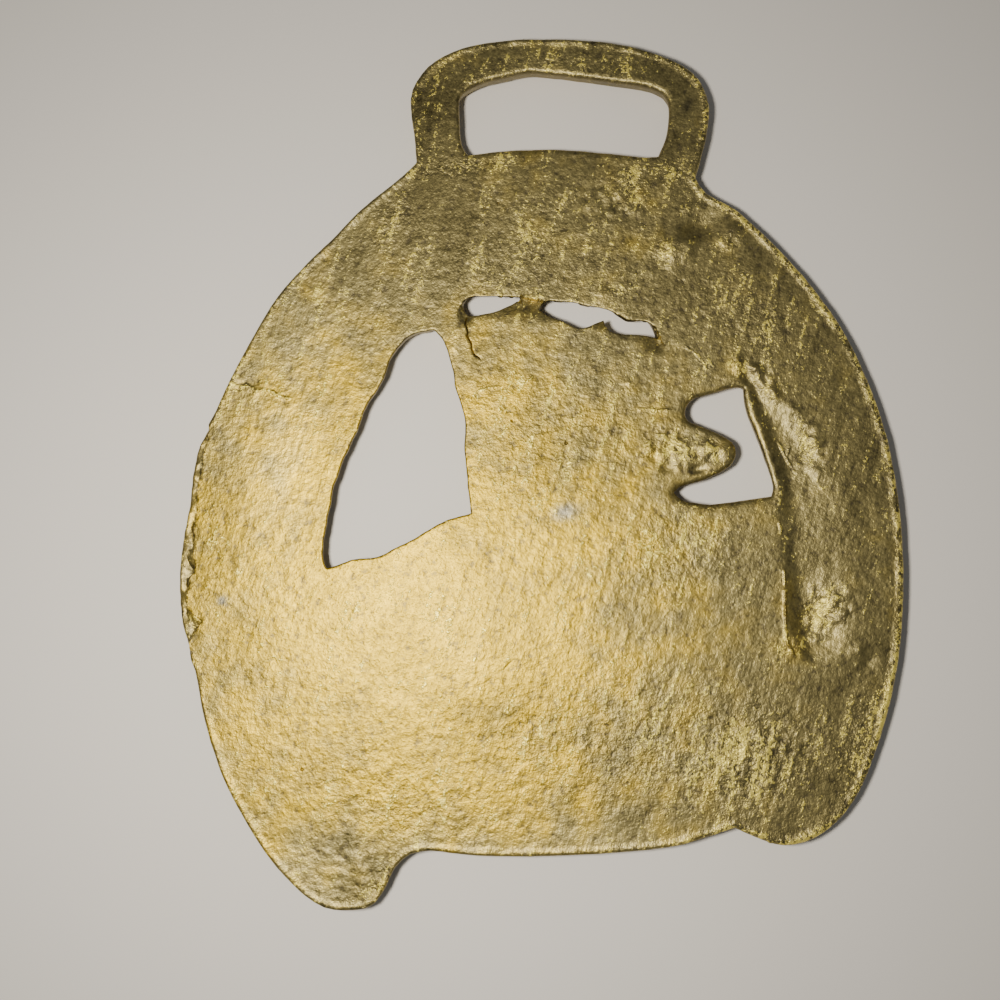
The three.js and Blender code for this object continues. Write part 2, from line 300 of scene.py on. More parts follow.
# Narrow lines: folds that froze before they closed, flash and scratches. Each is a line with its
# half width and its height.
LINES = [
    ([(24.1, -13.4), (24.05, -15.5), (24.05, -17.2), (24.2, -18.5), (24.8, -19.6)], 0.22, 0.18),
    ([(24.1, -11.4), (24.1, -12.8)], 0.18, 0.10), ([(23.7, -6.6), (23.9, -7.7)], 0.2, 0.10),
    ([(24.0, 1.5), (24.35, 0.7), (24.8, -0.2), (25.5, -1.4)], 0.14, 0.07),
    ([(25.1, 1.1), (24.8, 0.2)], 0.12, 0.05),
    ([(10.1, 4.9), (10.9, 4.95), (11.8, 4.8), (13.2, 4.85)], 0.16, 0.06),
    ([(-31.8, 7.8), (-30.6, 7.4), (-30.0, 7.6), (-29.0, 6.9), (-28.2, 7.1), (-27.2, 6.8), (-26.4, 6.3),
      (-25.7, 6.2)], 0.3, 0.09),
    ([(-7.1, 6.0), (-6.4, 6.8), (-5.2, 7.2), (-4.0, 7.3)], 0.14, 0.03),
    ([(-2.6, 7.5), (-1.6, 7.7), (-0.6, 8.3)], 0.14, 0.03),
    ([(12.4, 1.9), (13.2, 1.4), (14.4, 0.8)], 0.16, 0.05), ([(11.6, 2.2), (12.6, 2.4)], 0.14, 0.04),
    ([(14.9, 11.2), (15.7, 10.6), (16.4, 9.9), (16.8, 9.0)], 0.14, 0.04),
    ([(17.0, 9.9), (17.7, 9.1)], 0.13, 0.03),
    ([(-2.9, -20.3), (-3.9, -21.3)], 0.14, -0.04),
    ([(-5.1, -10.7), (-6.6, -15.6), (-8.8, -22.9)], 0.5, -0.03),
]
# A ragged crack runs down from the left slit.
CRACK = ([
    (-7.5, 14.8), (-7.65, 13.9), (-7.4, 13.1), (-7.45, 12.5), (-7.05, 11.9), (-6.95, 11.2), (-6.7, 10.6),
    (-6.2, 10.3)], 0.1, -0.3)
# Pits: the middle, the half width and the depth.
PITS = [
    ((-4.3, 26.6), 0.17, 0.3), ((1.9, 25.8), 0.17, 0.35), ((-5.7, 26.1), 0.16, 0.15),
    ((-5.0, 27.3), 0.12, 0.12), ((-23.6, -30.9), 0.2, 0.2), ((-2.9, 3.8), 0.14, 0.18),
    ((2.6, 1.5), 0.2, 0.2), ((-20.4, -1.6), 0.12, 0.1), ((0.2, 25.6), 0.14, 0.12),
    ((-2.1, 16.35), 0.28, 0.6),
]
# Thin flash joins the two sides of a long slit. From the slit's upper edge, which is a step, the
# metal below it lies low and comes up to the back again.
STEP_LINE = np.array([
    (-8.2, 15.6), (-7.6, 16.5), (-5.0, 16.72), (-2.0, 16.62), (0.4, 16.12), (1.6, 16.22),
    (4.4, 15.82), (7.6, 14.92), (8.9, 14.12), (10.7, 14.02), (11.7, 13.4), (12.2, 12.3),
    (12.6, 11.4),
])
STEP_DEPTH = 0.45
STEP_REACH = 2.4
BREAK_LEVEL = 2.05
BREAK_INSET = 0.38  # how far in from the silhouette's own line the back has broken less
BREAK_SLOPE = 0.3  # how far the broken face leans out on its way down


def eased(share):
    share = np.clip(share, 0, 1)
    return share * share * (3 - 2 * share)


def oval(points, middle, length, width, turn):
    """0 in the middle of an ellipse, 1 on its edge."""
    x, y = (points - middle).T
    along = (x * math.cos(turn) + y * math.sin(turn)) / length
    across = (y * math.cos(turn) - x * math.sin(turn)) / width
    return np.hypot(along, across)


def trough_bed(points):
    """How far into the trough each point is, from 0 outside to 1 at its bottom, and its depth."""
    apart, knot = from_line(points, np.array([place for place, *_ in TROUGH]))
    west, east, depth = (
        np.interp(knot, range(len(TROUGH)), [row[column] for row in TROUGH]) for column in (1, 2, 3))
    return 1 - eased(np.abs(apart) / np.where(apart > 0, west, east)), depth


def near_step(points):
    """1 along the slits and 0 where the step line has ended."""
    x, y = points.T
    return eased((x + 8.6) / 1.0) * eased((13.0 - x) / 1.0) * eased((y - 10.2) / 1.6)


def broken(points):
    """How far out a point lies from what is left of the back along its broken edge."""
    x, y = points.T
    at_edge = (x < -33) & (y > -21.3) & (y < 4.3)
    gone = np.full(len(points), -1.0)
    apart, inside, _ = by_the_break(points[at_edge])
    gone[at_edge] = np.where(inside, -apart, apart)
    return gone - BREAK_INSET + 0.12 * rough(points, 0.9, 9.5)


def back_height(points):
    """The height of the back over the plan."""
    ragged = 1 + 0.5 * rough(points, 0.9, 5.5)
    height = BACK + 0.035 * rough(points, 11, 0.5) + 0.022 * rough(points, 4.5, 1.5)
    bed, depth = trough_bed(points)
    height -= depth * bed * (1 + 0.16 * rough(points, 1.3, 2.5))
    for middle, length, width, turn, rise in SWELLINGS:
        share = 1 - eased(oval(points, middle, length, width, turn) * (0.85 + 0.15 * ragged))
        height += rise * share * (0.8 + 0.2 * ragged)
    for middle, length, width, turn, rise in LUMPY:
        share = 1 - eased(oval(points, middle, length, width, turn) ** 2)
        height += rise * share * (0.7 * rough(points, 1.4, 11.5) + 0.7 * rough(points, 0.75, 12.5))
    for line, width, rise in [*LINES, CRACK]:
        apart, _ = from_line(points, np.array(line))
        height += rise * (1 - eased(np.abs(apart) / width)) * (0.7 + 0.3 * ragged)
    for middle, width, depth in PITS:
        height -= depth * (1 - eased(np.linalg.norm(points - middle, axis=1) / width))
    below, _ = from_line(points, STEP_LINE)
    low = np.where(below > 0, 1 - eased(below / STEP_REACH), 0) * near_step(points)
    height -= STEP_DEPTH * low * (1 + 0.1 * rough(points, 1.1, 6.5))
    share = eased(broken(points) / BREAK_SLOPE + 0.3)
    return height + (BREAK_LEVEL + 0.15 * rough(points, 0.7, 4.5) - height) * share


# How far in from each edge its rounding starts and how much it takes off: the outer edge, the wide
# opening, the slot, the notch and the two slits. The outer edge is worn rounder towards the right.
ROUNDING = np.array([(0.3, 0.26), (0.22, 0.15), (0.45, 0.5), (0.75, 0.5), (0.14, 0.1), (0.14, 0.1)])
WORN_ROUNDING = (0.6, 0.42)
# Grinding the back left a low burr around the outer edge: its height, and how far in it is full and
# how far in it has ended.
BURR = (0.13, 0.34, 0.85)


def rounded_off(points, apart, owner):
    """What the edges have lost, by the distance to the nearest of them."""
    across, down = ROUNDING[np.minimum(owner, len(ROUNDING) - 1)].T
    worn = np.where(owner == 0, eased((points[:, 0] - 10) / 14), 0)
    across = across + worn * (WORN_ROUNDING[0] - across)
    down = down + worn * (WORN_ROUNDING[1] - down)
    return down * (1 - np.sqrt(1 - (1 - np.clip(apart / across, 0, 1)) ** 2))


def burr(points, apart, owner):
    """How high the burr stands, which fades along the broken side."""
    height, full, end = BURR
    inset = 0.15 * np.clip((points[:, 0] - 10) / 14, 0, 1)
    share = 1 - eased((apart - full - inset) / (end - full))
    x, y = points.T
    whole = 1 - 0.8 * eased((-20 - x) / 8) * eased((y + 30) / 8)
    return height * share * whole * (0.75 + 0.6 * rough(points, 2.3, 13.5)) * (owner == 0)


# The back is cut into triangles over the plan: rows of points along the edges and along each line
# in it, and between them an even lattice, closer where the back is uneven.
EDGE_ROWS = (0.04, 0.11, 0.21, 0.34, 0.5, 0.68, 0.88, 1.1)
LINE_ROWS = (-0.28, -0.17, -0.08, 0.0, 0.08, 0.17, 0.28)
STEP_ROWS = (-0.16, -0.03, 0.03, 0.16)
WIDE_LATTICE = 0.43
CLOSE_LATTICE = 0.21


def rows_beside(line, offsets, step):
    """Points in rows at offsets to the left of an open line."""
    line = np.array(line, float)
    walked = np.concatenate([[0], np.cumsum(np.linalg.norm(np.diff(line, axis=0), axis=1))])
    marks = np.linspace(0, walked[-1], max(3, round(walked[-1] / step)))
    middle = np.stack([np.interp(marks, walked, line[:, axis]) for axis in (0, 1)], 1)
    run = np.gradient(middle, axis=0)
    run /= np.linalg.norm(run, axis=1)[:, None]
    left = np.stack([-run[:, 1], run[:, 0]], 1)
    return np.vstack([middle + offset * left for offset in offsets])


def lattice(step):
    """An even lattice of points, in staggered rows, over the whole plan."""
    low, high = outer.min(0) - step, outer.max(0) + step
    rows = np.arange(low[1], high[1], step * math.sqrt(0.75))
    columns = np.arange(low[0], high[0], step)
    x, y = np.meshgrid(columns, rows)
    x[1::2] += step / 2
    return np.stack([x.ravel(), y.ravel()], 1)


def uneven(points):
    """Where the back needs the close lattice."""
    close = trough_bed(points)[0] > 0
    for middle, length, width, turn, _ in SWELLINGS + LUMPY:
        close |= oval(points, middle, length, width, turn) < 1.1
    below, _ = from_line(points, STEP_LINE)
    close |= (below > -0.5) & (below < STEP_REACH) & (near_step(points) > 0)
    return close | ((points[:, 0] < -32.6) & (points[:, 1] > -22) & (points[:, 1] < 5))


def triangles(loops, find, points):
    """The plan inside the loops cut into triangles; the loops' own points come first."""
    counts = [len(loop) for loop in loops]
    firsts = np.cumsum([0, *counts[:-1]])
    sides = [
        (first + i, first + (i + 1) % count)
        for first, count in zip(firsts, counts) for i in range(count)]
    spots = np.vstack([*loops, points])
    faces = np.array(
        delaunay_2d_cdt([Vector(spot) for spot in spots.tolist()], sides, [], 0, 1e-5)[2])
    a, b, c = (spots[faces[:, corner]] for corner in range(3))
    turned = (b - a)[:, 0] * (c - a)[:, 1] - (b - a)[:, 1] * (c - a)[:, 0] < 0
    faces[turned] = faces[turned][:, ::-1]
    # Only a triangle between three points of the loops can be outside. One with a side of a loop is
    # inside if it runs the loop's way along it.
    following = np.full(len(spots), -1)
    following[[one for one, _ in sides]] = [other for _, other in sides]
    rim = np.flatnonzero((faces < sum(counts)).all(1))
    corners, after = faces[rim], np.roll(faces[rim], -1, 1)
    with_loop = (following[corners] == after).any(1)
    against = (following[after] == corners).any(1)
    middle_inside = find(spots[corners].mean(1))[1]
    outside = against | (~with_loop & ~middle_inside)
    faces = np.delete(faces, rim[outside], 0)
    return spots, faces


def kept(points, find, least):
    """Those of the points that are in the metal and at least so far from its edges."""
    apart, inside, _ = find(points)
    return points[inside & (apart >= least)]


edge_points = []
for number, loop in enumerate(edges):
    left = directions(loop)[1]
    for offset in EDGE_ROWS if number == 0 else EDGE_ROWS[:4]:
        edge_points.append(kept(loop + offset * left, by_the_edges, 0.85 * offset))
line_points = [rows_beside(line, LINE_ROWS, 0.16) for line, *_ in [*LINES[:-1], CRACK]]
line_points.append(rows_beside(STEP_LINE, STEP_ROWS, 0.2))
for middle, width, _ in PITS:
    turns = np.linspace(0, 2 * math.pi, 9)[:-1, None]
    ring = np.hstack([np.cos(turns), np.sin(turns)])
    line_points.append(np.vstack([middle + ring * width * share for share in (0.25, 0.55, 0.85, 1.2)]))
line_points = kept(np.vstack(line_points), by_the_edges, 0.3)
wide = lattice(WIDE_LATTICE)
close = lattice(CLOSE_LATTICE)
field = np.vstack([wide[~uneven(wide)], close[uneven(close)]])
field = kept(field, by_the_edges, 0.42)
back_spots, back_faces = triangles(
    edges, by_the_edges, np.vstack([*edge_points, line_points, field]))
apart, _, owner = by_the_edges(back_spots)
back_heights = back_height(back_spots) + burr(back_spots, apart, owner)
back_heights -= rounded_off(back_spots, apart, owner)

# ---------------------------------------------------------------------------------------------
# The walls and the front. The walls lean in towards the front, as they left the sand. The front's
# field, flutes and swellings are felt out on the solid and softened, as a casting's are; the bead
# that follows the arch is made here again.
# ---------------------------------------------------------------------------------------------
FRONT = 1.1
FRONT_ROUNDING = 0.2
SLIT_LEAN = 0.3  # how far under the back the slits' upper walls lean for each millimetre of depth
WALL_ROWS = 6
FRONT_LATTICE = 0.46
BEAD_INSET = 4.3
BEAD_ROUND = 0.55
BEAD_RISE = 0.5
CROWN = [(-12.8, 31.1), (-9.0, 31.4), (-2.0, 32.4), (5.0, 32.2), (11.5, 30.6), (16.1, 29.1)]
FOOT = (-24.0, -42.2)  # the arch's border starts here, on the foot, and ends on the other side
LAST = (20.8, -37.2)

# An edge's point on the front lies in from the one on the back by the wall's draft. Slits have none,
# but their upper walls lean back.
drafts = [DRAFT] * 4 + [0.0] * (len(edges) - 4)
front_edges = [
    loop + draft * (BACK - FRONT) * directions(loop)[1] for loop, draft in zip(edges, drafts)]
for number, loop in enumerate(edges[4:], 4):
    upward = np.clip(directions(loop)[1][:, 1], 0, None)
    front_edges[number] = loop + np.outer(upward, (0, SLIT_LEAN * (BACK - FRONT)))


def nearest(loop, place):
    return int(np.linalg.norm(loop - place, axis=1).argmin())


# The arch: up the left side, over the crown below the hanger, and down the right side.
clockwise = outer[::-1]
clockwise = np.roll(clockwise, -nearest(clockwise, FOOT), 0)
rise, shoulder, last = (nearest(clockwise, place) for place in (CROWN[0], CROWN[-1], LAST))
arch = np.vstack([clockwise[:rise], CROWN[1:-1], clockwise[shoulder:last]])

by_front_edges = edge_finder(front_edges)
front_points = [
    kept(loop + offset * directions(loop)[1], by_front_edges, 0.85 * offset)
    for loop in front_edges for offset in (0.08, 0.2)]
front_points.append(kept(lattice(FRONT_LATTICE), by_front_edges, 0.42))
front_spots, front_faces = triangles(front_edges, by_front_edges, np.vstack(front_points))
shell = BVHTree.FromBMesh(solid)
felt = np.array([
    (shell.ray_cast((x * MM, y * MM, -MM), (0, 0, 1))[0] or Vector((0, 0, FRONT * MM))).z / MM
    for x, y in front_spots.tolist()])
inset, _ = from_line(front_spots, arch)
in_arch = ~edge_finder([np.vstack([arch, [LAST, FOOT]])])(front_spots)[1]
apart, _, _ = by_front_edges(front_spots)
in_field = (inset > BEAD_INSET + 1.1) & in_arch
front_heights = np.where(in_field, np.minimum(felt, FRONT), FRONT)
pairs = np.vstack([front_faces[:, [0, 1]], front_faces[:, [1, 2]], front_faces[:, [2, 0]]])
counts = np.bincount(pairs.ravel(), minlength=len(front_spots))
for _ in range(4):
    total = np.bincount(pairs[:, 0], front_heights[pairs[:, 1]], len(front_spots))
    total += np.bincount(pairs[:, 1], front_heights[pairs[:, 0]], len(front_spots))
    front_heights = 0.4 * front_heights + 0.6 * total / counts
across_bead = np.clip(1 - ((inset - BEAD_INSET) / BEAD_ROUND) ** 2, 0, None)
bead = FRONT + BEAD_ROUND - BEAD_RISE - BEAD_ROUND * np.sqrt(across_bead)
front_heights = np.where(in_arch & (apart > 0.3), np.minimum(front_heights, bead), front_heights)
rounding = 1 - np.sqrt(1 - (1 - np.clip(apart / FRONT_ROUNDING, 0, 1)) ** 2)
front_heights += FRONT_ROUNDING * rounding

spots = [np.column_stack([back_spots, back_heights]), np.column_stack([front_spots, front_heights])]
front_first = len(back_spots)
faces = [back_faces, front_faces[:, ::-1] + front_first]
wall_first = front_first + len(front_spots)
first = 0
for loop in edges:
    count = len(loop)
    around = np.arange(count)
    top = spots[0][first:first + count]
    foot = spots[1][first:first + count]
    shares = np.arange(1, WALL_ROWS) / WALL_ROWS
    spots.append(np.vstack([top + share * (foot - top) for share in shares]))
    rings = [first + around]
    rings += [wall_first + row * count + around for row in range(WALL_ROWS - 1)]
    rings.append(front_first + first + around)
    for upper, lower in zip(rings, rings[1:]):
        upper_next, lower_next = np.roll(upper, -1), np.roll(lower, -1)
        faces.append(np.stack([upper, lower, lower_next], 1))
        faces.append(np.stack([upper, lower_next, upper_next], 1))
    wall_first += (WALL_ROWS - 1) * count
    first += count

plate = bpy.data.meshes.new("plate")
plate.from_pydata((np.vstack(spots) * MM).tolist(), [], np.vstack(faces).tolist())
brass = bpy.data.materials.new("cast_brass")
plate.materials.append(brass)
casting = bpy.data.objects.new("brass_casting", plate)
bpy.context.scene.collection.objects.link(casting)

# ---------------------------------------------------------------------------------------------
# The cable border: strands laid against the run of the arch, cast with the plate. On the front they
# are what the brass lies on; on the back they show where the left edge is broken.
# ---------------------------------------------------------------------------------------------
ROPE_INSET = 1.6
STRAND_HEIGHT = 1.2


def numbered(tree, sockets):
    """Gives a node tree its inputs, by name, kind and value, and returns their identifiers."""
    kept_names = {}
    for name, kind, value in sockets:
        socket = tree.interface.new_socket(name, in_out="INPUT", socket_type="NodeSocket" + kind)
        if value is not None:
            socket.default_value = value
        kept_names[name] = socket.identifier
    return kept_names


def node(tree, kind, feeds=(), **settings):
    """A node with its settings and with links or values in its inputs, by name or number."""
    made = tree.nodes.new(kind)
    for name, value in settings.items():
        setattr(made, name, value)
    for place, value in dict(feeds).items():
        if isinstance(value, bpy.types.NodeSocket):
            tree.links.new(value, made.inputs[place])
        else:
            made.inputs[place].default_value = value
    return made


cable_tree = bpy.data.node_groups.new("cable_border", "GeometryNodeTree")
cable_inputs = numbered(cable_tree, [
    ("Arch Line", "Geometry", None), ("Pitch", "Float", 0.0028), ("Every", "Int", 2),
    ("First", "Int", 0), ("Half Length", "Float", 0.0019), ("Half Width", "Float", 0.0012),
    ("Half Height", "Float", STRAND_HEIGHT * MM), ("Twist", "Float", 0.65),
    ("Unevenness", "Float", 0.06), ("Seed", "Int", 4), ("Brass", "Material", None),
])
cable_tree.interface.new_socket("Strands", in_out="OUTPUT", socket_type="NodeSocketGeometry")
given = cable_tree.nodes.new("NodeGroupInput").outputs
path = node(cable_tree, "GeometryNodeMeshToCurve", {"Mesh": given["Arch Line"]})
marks = node(cable_tree, "GeometryNodeResampleCurve", {
    "Curve": path.outputs[0], "Length": given["Pitch"]}, mode="LENGTH")
tangent = node(cable_tree, "GeometryNodeInputTangent")
lengthwise = node(
    cable_tree, "FunctionNodeAlignRotationToVector", {"Vector": tangent.outputs[0]},
    axis="X", pivot_axis="Z")
turn_noise = node(
    cable_tree, "FunctionNodeRandomValue",
    {2: -0.08, 3: 0.08, "Seed": given["Seed"]}, data_type="FLOAT")
turn = node(cable_tree, "ShaderNodeMath", {0: given["Twist"], 1: turn_noise.outputs[1]})
twist = node(cable_tree, "FunctionNodeAxisAngleToRotation", {"Axis": (0, 0, 1), "Angle": turn.outputs[0]})
laid = node(
    cable_tree, "FunctionNodeRotateRotation",
    {0: lengthwise.outputs[0], 1: twist.outputs[0]}, rotation_space="LOCAL")
size = node(cable_tree, "ShaderNodeCombineXYZ", {
    0: given["Half Length"], 1: given["Half Width"], 2: given["Half Height"]})
least = node(cable_tree, "ShaderNodeMath", {0: 1.0, 1: given["Unevenness"]}, operation="SUBTRACT")
swell = node(
    cable_tree, "FunctionNodeRandomValue",
    {2: least.outputs[0], 3: 1.0, "Seed": given["Seed"]}, data_type="FLOAT")
scaled = node(
    cable_tree, "ShaderNodeVectorMath", {0: size.outputs[0], "Scale": swell.outputs[1]},
    operation="SCALE")
index = node(cable_tree, "GeometryNodeInputIndex")
place = node(
    cable_tree, "ShaderNodeMath", {0: index.outputs[0], 1: given["Every"]}, operation="MODULO")
chosen = node(
    cable_tree, "FunctionNodeCompare", {2: place.outputs[0], 3: given["First"]},
    data_type="INT", operation="EQUAL")
strand = node(cable_tree, "GeometryNodeMeshUVSphere", {"Segments": 16, "Rings": 9, "Radius": 1.0})
strands = node(cable_tree, "GeometryNodeInstanceOnPoints", {
    "Points": marks.outputs[0], "Selection": chosen.outputs[0], "Instance": strand.outputs[0],
    "Rotation": laid.outputs[0], "Scale": scaled.outputs[0]})
real = node(cable_tree, "GeometryNodeRealizeInstances", {0: strands.outputs[0]})
dressed = node(cable_tree, "GeometryNodeSetMaterial", {
    "Geometry": real.outputs[0], "Material": given["Brass"]})
cable_tree.links.new(dressed.outputs[0], cable_tree.nodes.new("NodeGroupOutput").inputs[0])


def grown(thing, tree, values):
    """What a Geometry Nodes tree makes of an object, as a plain mesh."""
    work = thing.modifiers.new(tree.name, "NODES")
    work.node_group = tree
    for identifier, value in values.items():
        work[identifier] = value
    bpy.context.view_layer.update()
    ready = thing.evaluated_get(bpy.context.evaluated_depsgraph_get())
    mesh = bpy.data.meshes.new_from_object(ready)
    thing.modifiers.remove(work)
    return mesh


def united(thing, mesh):
    """An object's mesh with a closed mesh joined to it, as one closed mesh."""
    other = bpy.data.objects.new("joining", mesh)
    bpy.context.scene.collection.objects.link(other)
    union = thing.modifiers.new("union", "BOOLEAN")
    union.operation = "UNION"
    union.solver = "MANIFOLD"
    union.object = other
    bpy.context.view_layer.update()
    ready = thing.evaluated_get(bpy.context.evaluated_depsgraph_get())
    whole = bpy.data.meshes.new_from_object(ready)
    thing.modifiers.remove(union)
    bpy.data.objects.remove(other)
    return whole


# The strands' line lies in from the arch's edge, where their middles are.
run = np.gradient(arch, axis=0)
run /= np.linalg.norm(run, axis=1)[:, None]
rope_line = arch + ROPE_INSET * np.stack([run[:, 1], -run[:, 0]], 1)
line_mesh = bpy.data.meshes.new("arch_line")
line_mesh.from_pydata(
    [(x * MM, y * MM, STRAND_HEIGHT * MM) for x, y in rope_line.tolist()],
    [(i, i + 1) for i in range(len(rope_line) - 1)], [])
line_holder = bpy.data.objects.new("arch_line", line_mesh)
bpy.context.scene.collection.objects.link(line_holder)
for first in (0, 1):
    strand_mesh = grown(line_holder, cable_tree, {
        cable_inputs["First"]: first, cable_inputs["Brass"]: brass})
    casting.data = united(casting, strand_mesh)
bpy.data.objects.remove(line_holder)

# ---------------------------------------------------------------------------------------------
# The cast skin: no face of it is quite even, because it is the print of the sand.
# ---------------------------------------------------------------------------------------------
skin_tree = bpy.data.node_groups.new("cast_skin", "GeometryNodeTree")
skin_inputs = numbered(skin_tree, [
    ("Casting", "Geometry", None), ("Lump Size", "Float", 0.0016), ("Lump Depth", "Float", 0.000035),
    ("Grain Size", "Float", 0.0007), ("Grain Depth", "Float", 0.00002), ("Seed", "Float", 2.0),
    ("Brass", "Material", None),
])
skin_tree.interface.new_socket("Casting", in_out="OUTPUT", socket_type="NodeSocketGeometry")
given = skin_tree.nodes.new("NodeGroupInput").outputs
spot = node(skin_tree, "GeometryNodeInputPosition").outputs[0]
outward = node(skin_tree, "GeometryNodeInputNormal").outputs[0]
rises = []
for kind in ("Lump", "Grain"):
    scale = node(
        skin_tree, "ShaderNodeMath", {0: 1.0, 1: given[kind + " Size"]}, operation="DIVIDE")
    lumps = node(skin_tree, "ShaderNodeTexNoise", {
        "Vector": spot, "W": given["Seed"], "Scale": scale.outputs[0], "Detail": 1.0},
        noise_dimensions="4D")
    level = node(
        skin_tree, "ShaderNodeMath", {0: lumps.outputs[0], 1: 0.5}, operation="SUBTRACT")
    rises.append(node(
        skin_tree, "ShaderNodeMath", {0: level.outputs[0], 1: given[kind + " Depth"]},
        operation="MULTIPLY").outputs[0])
rise = node(skin_tree, "ShaderNodeMath", {0: rises[0], 1: rises[1]})
shift = node(
    skin_tree, "ShaderNodeVectorMath", {0: outward, "Scale": rise.outputs[0]}, operation="SCALE")
moved = node(skin_tree, "GeometryNodeSetPosition", {
    "Geometry": given["Casting"], "Offset": shift.outputs[0]})
real = node(skin_tree, "GeometryNodeRealizeInstances", {0: moved.outputs[0]})
dressed = node(skin_tree, "GeometryNodeSetMaterial", {
    "Geometry": real.outputs[0], "Material": given["Brass"]})
skin_tree.links.new(dressed.outputs[0], skin_tree.nodes.new("NodeGroupOutput").inputs[0])
casting.data = grown(casting, skin_tree, {skin_inputs["Brass"]: brass})
casting.data.shade_smooth()
casting.data.set_sharp_from_angle(angle=math.radians(50))

# ---------------------------------------------------------------------------------------------
# The finish: brass left to tarnish. Its skin is as rough as the sand, olive where it is dull and
# yellow where cloth and handling have rubbed it, with leaning marks of the file across the back.
# Light is painted into it too: a warmer gold where the lamp's reflection falls on the back, a rim
# highlight and glints where slopes face the lamp, and painted shade on the steep walls.
# ---------------------------------------------------------------------------------------------
DULL = (0.34, 0.285, 0.12, 1)
# Gold patina, and also the painted warmth of the lamp's highlight on the back.
GOLDEN_AND_HIGHLIGHT = (0.46, 0.32, 0.03, 1)
# Bright rubbed metal, also used for painted glints and a painted rim highlight.
BRIGHT_METAL_AND_GLINT = (0.95, 0.78, 0.15, 1)
HOLLOW = (0.15, 0.125, 0.075, 1)
SOOT = (0.06, 0.055, 0.04, 1)
# Painted shade for the steep walls and sides.
WALL_SHADE = (0.17, 0.145, 0.08, 1)
STAIN = (0.25, 0.27, 0.27, 1)
FILE_LEAN = math.radians(16)
# Where the rough metal is rubbed bright, and where bright glints are painted on slopes that face
# the lamp (the trough's banks, the lobe's hollows, the shoulder): the middle, the half length and
# half width, the turn of the long axis, and how much.
RUBBED_AND_GLINTS = [
    ((20.4, 9.0), 2.4, 1.3, -0.5, 1.0), ((23.1, 6.4), 2.4, 1.2, -0.9, 0.9),
    ((26.6, 1.4), 4.6, 1.6, -1.2, 1.0), ((27.6, -15.4), 4.4, 3.2, 0.6, 1.0),
    ((25.4, -18.8), 2.2, 1.4, 0.2, 0.8), ((13.0, 21.2), 2.6, 2.0, 0.3, 1.0),
    ((19.4, 22.4), 2.8, 1.6, 0.6, 0.8), ((14.8, 25.6), 1.6, 1.2, 0.0, 0.7),
    ((9.4, 28.0), 4.4, 3.4, 1.3, 0.7), ((8.2, 17.4), 3.2, 1.4, 0.0, 0.6),
    ((14.6, 0.1), 1.9, 1.7, 0.2, 1.3), ((17.0, 0.8), 1.7, 1.7, 0.2, 1.3), ((11.0, 0.9), 1.9, 1.2, 1.3, 1.2),
    ((13.4, 1.6), 5.4, 3.4, -0.1, 0.6),
    ((-15.4, 25.6), 4.6, 3.0, 1.2, 0.7), ((-8.0, 30.5), 8.0, 2.0, 0.1, 0.6),
    ((20.0, -29.5), 10.0, 8.5, 0.3, 0.9), ((9.0, -28.0), 18.0, 9.0, 0.1, 0.6),
    ((13.5, -9.5), 8.0, 6.0, 0.4, 0.55), ((4.0, 41.6), 14.0, 2.2, 0.0, 0.55),
    ((-7.0, 39.6), 4.0, 2.0, 0.8, 0.4), ((14.0, 29.6), 6.0, 2.2, -0.3, 0.6),
    ((21.0, 14.0), 8.0, 6.0, -0.8, 0.35), ((30.5, -28.0), 8.0, 3.0, 1.2, 0.6),
    ((-14.0, -34.0), 14.0, 7.0, -0.4, 0.4), ((0.0, 20.0), 26.0, 12.0, 0.0, 0.25),
    ((2.0, 4.0), 14.0, 10.0, 0.0, 0.3),
]
# Broad parts that are lighter or darker than the rest.
TONES = [
    ((-26.0, 0.0), 12.0, 5.0, 1.4, 0.45), ((-24.0, 12.0), 9.0, 6.0, 1.0, 0.25),
    ((-33.0, -8.0), 14.0, 5.0, 1.5, -0.35), ((-4.0, -26.0), 12.0, 6.0, 0.0, -0.22),
    ((2.0, -37.5), 22.0, 3.0, 0.0, 0.35), ((-12.0, 37.0), 6.0, 4.0, 1.2, -0.3),
    ((3.0, 42.0), 13.0, 2.4, 0.0, 0.3), ((16.5, 24.0), 3.4, 2.4, 0.6, -0.25),
    ((-8.6, 11.6), 1.6, 3.0, 0.0, 0.5), ((1.9, -1.3), 11.0, 9.0, 0.0, -0.2),
    ((-30.0, -18.5), 8.0, 5.0, 1.4, -0.2), ((-23.6, -40.5), 7.0, 4.0, -0.7, 0.4),
]
# Where the metal beside the outer edge is rubbed bright in a wider band.
RUBBED_RIM = [((27.0, -30.0), 12.0, 7.0, 0.9, 1.2), ((-18.0, -40.0), 12.0, 6.0, -0.8, 1.0)]


def blurred(points, ovals):
    """The most that any soft oval of a list says at each point."""
    most = np.zeros(len(points))
    for middle, length, width, turn, amount in ovals:
        share = 1 - eased(oval(points, middle, length, width, turn))
        most = np.where(np.abs(amount * share) > np.abs(most), amount * share, most)
    return most


